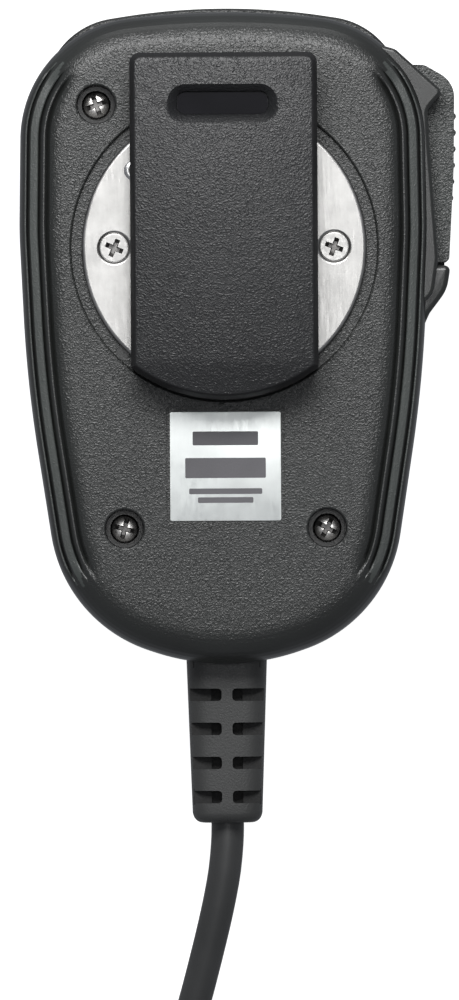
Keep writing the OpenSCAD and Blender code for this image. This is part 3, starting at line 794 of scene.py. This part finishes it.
def rear_skin():
    """The rear shell with its cheek, toe, bosses, recess, wells, label well and throat."""
    line = outline(both_sides(REAR_HALF), OUTLINE_POINTS)
    mask = [on_side(p) for p, _ in line]
    inside = [(WALL + 3.6, 26.0), (WALL + 1.2, 24.6), (WALL, 22.0), (WALL, SEAM_Z)]
    rings = [inset_ring(line, *p) for p in inside + [(LIP, SEAM_Z), (0, SEAM_Z + LIP)]]
    lift = BACK_Z - PROFILE_BACK
    insets = {x for x, _ in SIDE_PROFILE + END_PROFILE} | {0.2 * k for k in range(1, 37)}
    for inset in sorted(insets):
        side, end = level(SIDE_PROFILE, inset), level(END_PROFILE, inset)
        rings.append(inset_ring(line, inset, lambda k: lift + end + (side - end) * mask[k]))
    shell = piece("rear_shell_skin", *stack(rings), MAT["shell"])
    cheek = pad(CHEEK, WINDOW[1], 25.0, 0.0, 0.55)
    toe = pad(TOE, SEAM_Z + 0.02, 23.4, 0.25, 0.8)
    bosses = [tool_turned([(4.55, SEAM_Z + 0.1), (4.55, BOSS_END)], p, 48) for p in CASE_SCREWS]
    bosses += [tool_turned([(3.2, 20.4), (3.2, BOSS_END)], p, 48) for p in PLATE_SCREWS]
    bosses.append(tool_turned([(14.8, RECESS_Z - 3.7), (14.8, BOSS_END)], (0, 0)))
    boolean(shell, [cheek, toe] + bosses, "UNION")
    top = BACK_Z + 1
    recess = [(RECESS_R - 0.15, RECESS_Z), (RECESS_R, RECESS_Z + 0.15), (RECESS_R, BACK_Z - 0.12),
              (RECESS_R + 0.25, BACK_Z + 0.02), (RECESS_R + 0.25, top)]
    cuts = [tool_turned(recess, (0, 0), 192),
            tool_turned([(12.8, RECESS_Z - 1.8), (12.8, top)], (0, 0)),
            tool_turned([(1.1, RECESS_Z - 0.6), (1.1, RECESS_Z + 0.3)], NOTCH, 32)]
    well = [(WELL_R - 0.4, 22), (WELL_R - 0.4, BACK_Z - 0.35), (WELL_R - 0.28, BACK_Z - 0.12),
            (WELL_R, BACK_Z + 0.03), (WELL_R, top)]
    for p in CASE_SCREWS:
        cuts.append(tool_turned(well, p, 64))
        cuts.append(tool_turned([(1.4, 10), (1.4, 23)], p, 32))
    for p in PLATE_SCREWS:
        cuts.append(tool_turned([(1.3, 21), (1.3, top)], p, 32))
    cuts.append(prism("tool", LABEL_WELL, BACK_Z - 0.5, top, MAT["shell"], 6))
    boolean(shell, cuts + [window_tool()] + relief_tools())
    # the side bands get the lighter plastic as painted sheen
    repaint(shell, MAT["side"], on_sheen_band)
    # the screw wells' walls get the darker, less shiny plastic as painted shade
    repaint(shell, MAT["shaded_edge"], in_shaded_well)
    shade(shell, 32)
    settle(shell, "mic", ("rear_shell",))


def in_shaded_well(n, c):
    """The walls of the holes that the case screws sit in, which get painted shade."""
    return n.z < 0.8 and any(math.dist(c[:2], p) < WELL_R + 0.05 for p in CASE_SCREWS)


def on_sheen_band(n, c):
    """The flat band between the two grooves along each long side, which gets a lighter plastic as
    painted sheen.
    """
    on_flank = abs(c.x) > 20 and -56 < c.y < 32 and math.hypot(c.x, c.y) > RECESS_R + 0.5
    return on_flank and n.z > 0.8 and 26.0 < c.z < 27.2


def window_tool():
    """The opening in the right side that the button stands in."""
    return box_tool((26, -3.0, WINDOW[0]), (40, 30.0, WINDOW[1]))


def relief_tools():
    """The round throat that the strain relief sits in, and the slot for its collar."""
    return [rod_y(5.2, -50, -80, 64), rod_y(7.6, -60.3, -62.7, 64)]


def front_skin():
    """The front shell with its toe, bosses, grille slots and the microphone's pinhole."""
    line = outline(both_sides(FRONT_HALF), OUTLINE_POINTS)
    profile = [(8.4, 0), (7.4, 0.04), (6.4, 0.2), (5.4, 0.5), (4.4, 0.95), (3.4, 1.6), (2.4, 2.6),
               (1.6, 3.6), (0.95, 4.8), (0.45, 6.2), (0.15, 7.6), (0, 9), (0, FRONT_TOP - LIP),
               (LIP, FRONT_TOP), (WALL, FRONT_TOP), (WALL, 9), (WALL + 0.5, 7), (WALL + 2.4, 4),
               (WALL + 5.6, 2)]
    shell = piece("front_shell_skin", *stack([inset_ring(line, *p) for p in profile]), MAT["front"])
    toe = pad(TOE, 5.4, FRONT_TOP - 0.02, 0.8, 0.25)
    sill = box_tool((26, -6.0, 5.8), (35.2, -0.8, WINDOW[0]))
    bosses = [tool_turned([(3.4, 1.6), (3.4, FRONT_TOP)], p, 48) for p in CASE_SCREWS]
    boolean(shell, [toe, sill] + bosses, "UNION")
    cuts = [tool_turned([(2.0, 5), (2.0, FRONT_TOP + 1)], p, 48) for p in CASE_SCREWS]
    for k in range(-6, 7):
        reach = math.sqrt(GRILLE_R ** 2 - (GRILLE_PITCH * k) ** 2) - 0.6
        bar = oblong(reach, GRILLE_Y + GRILLE_PITCH * k, 0.6, 0.55)
        cuts.append(prism("tool", bar, -1, 3.4, MAT["shell"], 6))
    cuts.append(tool_turned([(0.8, -1), (0.8, 3.4)], PINHOLE, 32))
    boolean(shell, cuts + [window_tool()] + relief_tools())
    shade(shell, 32)
    settle(shell, "mic", ("front_shell",))


# ---------------------------------------------------------------- metal on the back
CASE_SCREW_TOP = 23.62
CASE_SCREW_TURNS = (20, 62, 75)
PLATE_SCREW_TURNS = (66, 70)
# each bar of the label as (distance below the label's top edge, half length, half width)
LABEL_BARS = [(4.2, 5.2, 1.1), (8.9, 6.4, 1.6), (12.6, 5.8, 0.45), (14.0, 4.4, 0.45)]


def cross_tool(centre, z, reach, depth, turn):
    """A Phillips recess: two tapering blades that narrow towards the bottom."""
    tools = []
    for a in (turn, turn + 90):
        c, s = math.cos(math.radians(a)), math.sin(math.radians(a))
        rings = []
        for r, w, dz in ((reach * 0.6, 0.26, -depth), (reach, 0.4, 0.05), (reach, 0.4, 0.6)):
            rings.append([(centre[0] + c * x - s * y, centre[1] + s * x + c * y, z + dz)
                          for x, y in ((-r, -w), (r, -w), (r, w), (-r, w))])
        tools.append(piece("tool", *stack(rings), MAT["screw"]))
    return tools


def paint_recess_shade(screw, centre, z, reach):
    """Gives the floor and walls of a screw's cross recess a darker, duller steel as painted shade."""
    screw.data.materials.append(MAT["recess"])
    for face in screw.data.polygons:
        c = face.center
        r = math.hypot(c.x - centre[0], c.y - centre[1])
        face.material_index = int(r < reach and z - 1.4 < c.z < z - 0.04 and r > 1e-3)


def case_screws():
    """Pan head screws deep in their wells."""
    top = CASE_SCREW_TOP
    head = [(1.25, 5.6), (1.25, 22), (2.2, 22), (2.3, 22.5), (2.25, 23.0), (2.0, 23.4), (1.5, top),
            (0.8, top + 0.08)]
    for k, (p, turn) in enumerate(zip(CASE_SCREWS, CASE_SCREW_TURNS)):
        screw = turned(f"case_screw_{k}", head, p, MAT["screw"], 64)
        boolean(screw, cross_tool(p, top, 1.6, 1.2, turn))
        paint_recess_shade(screw, p, top, 1.55)
        shade(screw, 30)
        settle(screw, "mic", ("case_screws",) if k == 0 else ())


def plate_screws():
    """Countersunk screws that hold the retaining plate."""
    z = PLATE_TOP.z - 0.1
    head = [(1.25, 21.4), (1.25, z - 1.0), (2.15, z - 0.2), (2.33, z - 0.08), (2.3, z - 0.02), (2.15, z)]
    for k, (p, turn) in enumerate(zip(PLATE_SCREWS, PLATE_SCREW_TURNS)):
        screw = turned(f"plate_screw_{k}", head, p, MAT["plate_screw"], 96)
        boolean(screw, cross_tool(p, z, 1.5, 1.3, turn))
        paint_recess_shade(screw, p, z, 1.5)
        shade(screw, 30)
        settle(screw, "mic", ("plate_screws",) if k == 0 else ())


def plate():
    """The retaining plate with a rolled rim and countersunk holes, and its index rivet."""
    low, high, roll = RECESS_Z, PLATE_TOP.z, 0.55
    rim = [(PLATE_R - 0.15, low), (PLATE_R, low + 0.2), (PLATE_R, high - roll)]
    rim += [(PLATE_R - roll * (1 - math.cos(a)), high - roll * (1 - math.sin(a)))
            for a in (math.radians(15 * k) for k in range(1, 7))]
    disc = turned("plate_skin", rim, (0, 0), MAT["plate"], 256)
    sink = [(1.45, low - 1), (1.45, high - 1.15), (2.5, high - 0.12), (2.62, high - 0.04),
            (2.85, high + 0.02), (2.85, high + 1)]
    cuts = [tool_turned([(9.0, low - 1), (9.0, high + 1)], (0, 0))]
    cuts += [tool_turned(sink, p, 96) for p in PLATE_SCREWS]
    cuts.append(tool_turned([(1.0, low - 1), (1.0, high + 1)], RIVET, 48))
    boolean(disc, cuts)
    shade(disc, 25)
    settle(disc, "mic", ("retaining_plate",))
    dome = [(0.95, low - 2), (0.95, high), (1.6, high), (1.62, high + 0.12), (1.4, high + 0.26),
            (0.9, high + 0.3), (0.5, high + 0.16), (0.2, high + 0.12)]
    rivet = turned("rivet_skin", dome, RIVET, MAT["steel"], 64)
    settle(rivet, "mic", ("index_rivet",))


def label():
    """A blank foil label with plain bars in place of its print."""
    low, top = LABEL_LOW.z, LABEL_TOP.z
    half = (LABEL_TOP.y - LABEL_LOW.y) / 2
    sheet = oblong(LABEL_TOP.x, (LABEL_TOP.y + LABEL_LOW.y) / 2, half, 0.3)
    foil = prism("label_skin", sheet, low, top - 0.03, MAT["label"], 5)
    bevel(foil, 0.04, 2)
    shade(foil, 30)
    settle(foil, "mic", ("back_label",))
    for k, (drop, reach, thick) in enumerate(LABEL_BARS):
        bar = prism(f"label_bar_{k}", oblong(reach, LABEL_TOP.y - drop, thick, 0.2),
                    top - 0.04, top - 0.01, MAT["print"], 4)
        settle(bar, "mic")


# ---------------------------------------------------------------- belt clip
CROWN_R = 260
CROWN_Y = 4
LEVER_T = 2.8
LEVER_CORNER = 1.6
JAW_GAP = 0.25
EAR_IN = 7.3
EAR_T = 2.5
EAR_R = 3.3
SLOT_Y = 22.75
SLOT = [(-7.35, SLOT_Y + 1.75, 1.3), (7.05, SLOT_Y + 1.75, 1.3), (7.05, SLOT_Y - 1.75, 1.3),
        (-7.35, SLOT_Y - 1.75, 1.3)]
# section of the lever's edge from the inner face to the outer, as (inset, depth below the crown)
EDGE = [(0.9, LEVER_T), (0.3, LEVER_T), (0.0, LEVER_T - 0.3), (0.04, 2.0), (0.5, 0.5), (0.56, 0.32),
        (0.66, 0.16), (0.8, 0.05), (1.0, 0.0)]


def crown(y, drop=0.0):
    """Height of the lever's bowed outer face, or of a level below it."""
    return LEVER_TOP.z - drop - CROWN_R + math.sqrt(CROWN_R ** 2 - (y - CROWN_Y) ** 2)


def lever_half(inset):
    """Right half of the lever's plan outline, from the jaw's middle to the top's middle."""
    half, top = LEVER_TOP.x - inset, LEVER_TOP.y - inset
    corner, jaw = LEVER_CORNER - inset * 0.8, RECESS_R - JAW_GAP - inset
    swing = math.asin(half / jaw)
    pts = [(jaw * math.sin(a), -jaw * math.cos(a))
           for a in (swing * (k + 0.5) / 20.5 for k in range(21))]
    low = pts[-1][1]
    pts += [(half, low + (top - corner - low) * k / 40) for k in range(1, 40)]
    pts += [(half - corner + corner * math.cos(t), top - corner + corner * math.sin(t))
            for t in (math.radians(15 * k) for k in range(7))]
    return pts + [((half - corner) * k / 8, top) for k in (6, 4, 2, 0.5)]


def mirrored(half):
    """A half outline's points and their mirror images, as a ring."""
    return half + [(-x, y) for x, y in reversed(half)]


def banded(rings):
    """Like stack, for rings that are mirrored in X; the ends are closed by strips across."""
    verts, faces = stack(rings, closed=False)
    n = len(rings[0])
    last = (len(rings) - 1) * n
    for k in range(n // 2 - 1):
        faces.append((k, k + 1, n - 2 - k, n - 1 - k))
        faces.append((last + k, last + k + 1, last + n - 2 - k, last + n - 1 - k))
    return verts, faces


def jaw_lip():
    """The curved lip that hangs from the lever's end down to the plate's rim."""
    far, near = RECESS_R - 0.27, PLATE_R + 0.3
    reach = math.asin((LEVER_TOP.x - 0.1) / far)
    angles = [-math.pi / 2 + reach * (k / 16 - 1) for k in range(33)]
    plan = [(far * math.cos(a), far * math.sin(a)) for a in angles]
    plan += [(near * math.cos(a), near * math.sin(a)) for a in reversed(angles)]
    heights = (RECESS_Z + 0.4, crown(-22, LEVER_T) + 0.6)
    return piece("tool", *stack([[(x, y, z) for x, y in plan] for z in heights]), MAT["lever"])


def ear(x):
    """One hinge ear, from x to x + EAR_T, to join on."""
    low = [(EAR_R * math.cos(t), HINGE_Z + EAR_R * math.sin(t))
           for t in (math.pi + math.pi * k / 24 for k in range(25))]
    high = [(y, crown(y, LEVER_T) + 0.5) for y in (EAR_R, -EAR_R)]
    rings = [[(x + dx, y, z) for y, z in low + high] for dx in (0, EAR_T)]
    return piece("tool", *stack(rings), MAT["lever"])


def lever():
    """The belt clip's lever with its lip, ears, pin hole and the slot near its top, with a dark sheet of
    painted shadow at the slot's bottom.
    """
    rings = [[(x, y, crown(y, drop)) for x, y in mirrored(lever_half(inset))] for inset, drop in EDGE]
    arm = piece("lever_skin", *banded(rings), MAT["lever"])
    boolean(arm, [jaw_lip(), ear(-EAR_IN - EAR_T), ear(EAR_IN)], "UNION")
    face = crown(SLOT_Y)
    slot = flared([(0.0, face - 1.9), (0.12, face - 1.4), (1.2, face - 0.25), (1.5, face - 0.04),
                   (1.75, face + 0.06), (1.75, 42.0)])
    boolean(arm, [slot, across(1.25, HINGE_Z)])
    close_gaps(arm)
    # the lever's steep faces outside the slot get the darker, less shiny plastic as painted shade
    repaint(arm, MAT["shaded_edge"], lambda n, c: -0.5 < n.z < 0.88 and not in_slot(c))
    shade(arm, 28)
    settle(arm, "clip", ("clip_lever",))
    # a thin near-black sheet at the bottom of the slot's pocket, as painted shadow
    floor = flared([(-0.02, face - 1.95), (-0.02, face - 1.84)], "slot_shadow_sheet", MAT["slot_shadow"])
    settle(floor, "clip")


def in_slot(c):
    """Whether a point of the lever lies in or beside its slot."""
    return abs(c.x) < 9.5 and abs(c.y - SLOT_Y) < 4


def across(r, z):
    """A rod along X for the hinge pin's hole."""
    angles = [TAU * k / 48 for k in range(48)]
    rings = [[(x, r * math.cos(a), z + r * math.sin(a)) for a in angles] for x in (-11, 11)]
    return piece("tool", *stack(rings), MAT["lever"])


def flared(levels, name="tool", mat=None):
    """Solid over the slot's outline; each level is (how much wider, height)."""
    line = rounded(SLOT, 8)
    rings = [inset_ring(line, -grow, z) for grow, z in levels]
    return piece(name, *stack(rings), mat or MAT["lever"])


def wound_spring(name, start, end, radius, thick, turns, body, replaced):
    """A coil about the line between two points, as a mesh."""
    a, b = Vector(start), Vector(end)
    along = (b - a).normalized()
    side = along.cross(Vector((0, 1, 0))).normalized()
    up = along.cross(side)
    steps = 20
    points = []
    for k in range(turns * steps + 1):
        t = TAU * k / steps
        out = radius * (math.cos(t) * side + math.sin(t) * up)
        points.append(a.lerp(b, k / (turns * steps)) + out)
    line = wire(name, points, thick, 3, MAT["steel"])
    mesh = evaluated_mesh(line)
    bpy.data.objects.remove(line)
    coil = bpy.data.objects.new(name, mesh)
    bpy.context.scene.collection.objects.link(coil)
    return settle(coil, body, replaced, 1.0)


# ---------------------------------------------------------------- strain relief
NECK_START = -60.5
NECK_R = 5.0
RELIEF_START = -65.5
RELIEF_HALF = (6.42, 5.52)
RELIEF_DEEP = (6.0, 5.4)
RELIEF_EDGE = 1.6
RELIEF_BORE = 2.62
ROW_START = -71.1
ROW_PITCH = 5.43
ROWS = 4


def squircle(y, half_w, half_h, power=4.0, count=96):
    """A ring about the cord's axis; a power of 2 makes it round, a higher one squarer."""
    ring = []
    for k in range(count):
        c, s = math.cos(TAU * k / count), math.sin(TAU * k / count)
        ring.append((half_w * math.copysign(abs(c) ** (2 / power), c), y,
                     AXIS_Z + half_h * math.copysign(abs(s) ** (2 / power), s)))
    return ring


def relief():
    """Soft sleeve with a rounded square section and rows of side slots."""
    top, end = RELIEF_START, RELIEF_END
    length = end - top
    wide, narrow = RELIEF_HALF
    deep, shallow = RELIEF_DEEP

    def half(y):
        return wide + (narrow - wide) * (y - top) / length

    rings = [squircle(y, NECK_R, NECK_R, 2.0) for y in (NECK_START, top + 0.4)]
    rings.append(squircle(top, half(top), deep))
    for k in range(1, 20):
        y = top + (length + RELIEF_EDGE) * k / 19
        rings.append(squircle(y, half(y), deep - (deep - shallow) * k / 19))
    for k in range(1, 7):
        a = math.radians(15 * k)
        shrink = RELIEF_EDGE * (1 - math.cos(a))
        y = end + RELIEF_EDGE * (1 - math.sin(a))
        rings.append(squircle(y, half(end) - shrink, shallow - shrink))
    sleeve = piece("relief_skin", *stack(rings), MAT["relief"])
    cuts = []
    for k in range(ROWS):
        y = ROW_START - ROW_PITCH * k
        for side in (-1, 1):
            cuts.append(slot_tool(side, y, 8.5, AXIS_Z + 3.9, AXIS_Z + 8))
            cuts.append(slot_tool(side, y, 2.5, AXIS_Z + 2.9, AXIS_Z + 8))
            cuts.append(slot_tool(side, y, 8.5, AXIS_Z - 8, AXIS_Z - 3.9))
    cuts.append(rod_y(RELIEF_BORE, -50, -100, 48))
    boolean(sleeve, cuts)
    # the faces inside the slots get the near-black rubber as painted shade
    repaint(sleeve, MAT["slit_shade"], in_shaded_slit)
    shade(sleeve, 30)
    settle(sleeve, "mic", ("strain_relief",))


def in_shaded_slit(n, c):
    """Whether a face's centre lies below the sleeve's skin, between the two ends of a slot; these faces
    get painted shade.
    """
    row = (ROW_START - c.y) / ROW_PITCH
    in_row = abs(row - round(row)) * ROW_PITCH < 1.02
    return in_row and 0.8 < abs(c.x) < 5.4 and abs(c.z - AXIS_Z) < 5.2


def slot_tool(side, y, reach, z_low, z_high):
    """Cuts a slot from near the middle out to one side, to the given reach."""
    near, far = side * 0.85, side * reach
    corners = [(near, y + 1, 0.6), (far, y + 1, 0.05), (far, y - 1, 0.05), (near, y - 1, 0.6)]
    return prism("tool", corners, z_low, z_high, MAT["relief"], 5)


# ---------------------------------------------------------------- everything
rear_skin()
front_skin()
case_screws()
plate_screws()
plate()
label()
lever()
relief()

refined("ptt_button", MAT["button"], "button", 0.45, 3, 40)
refined("swivel_hub", MAT["hub"], "clip_hub", 0.2, 2, 40)
refined("plug_boot", MAT["relief"], "mic", 0.5, 3)
refined("plug_body", MAT["clear"], "mic", 0.15, 2)
refined("plug_latch", MAT["clear"], "latch", 0.12, 2)
refined("board_connector", MAT["header"], "mic", 0.3, 2)
refined("ptt_switch", MAT["black"], "mic", 0.25, 2)
refined("speaker_magnet", MAT["magnet"], "mic", 0.4, 3)
refined("mic_capsule", MAT["can"], "mic", 0.3, 3)
refined("hinge_pin", MAT["steel"], "clip_hub", 0.25, 3)

wound_spring("torsion_coil", (-3.6, 0, HINGE_Z), (3.6, 0, HINGE_Z), 1.95, 0.8, 7,
             "clip_hub", ("torsion_spring",))
button_coil = wound_spring("button_coil", (24.0, 22, 13), (34.4, 22, 13), 2.0, 0.45, 8,
                           "mic", ("ptt_spring",))
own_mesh(button_coil)

# CAD nodes that are shown as they are, by their material
CARRIED = {
    "seal": ["case_gasket", "mic_boot"],
    "brass": ["case_inserts"],
    "steel": ["detent_spring", "ptt_pin"],
    "cloth": ["grille_cloth"],
    "magnet": ["speaker_frame"],
    "paper": ["speaker_cone"],
    "board": ["circuit_board"],
    "screw": ["board_screws", "clamp_screws"],
    "wire": ["inner_wires"],
    "black": ["cable_clamp"],
    "cord": ["inner_cable"],
    "gold": ["plug_contacts"],
    "header": ["switch_plunger"],
}
for key, names in CARRIED.items():
    for name in names:
        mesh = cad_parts[name].data
        mesh.materials.clear()
        mesh.materials.append(MAT[key])
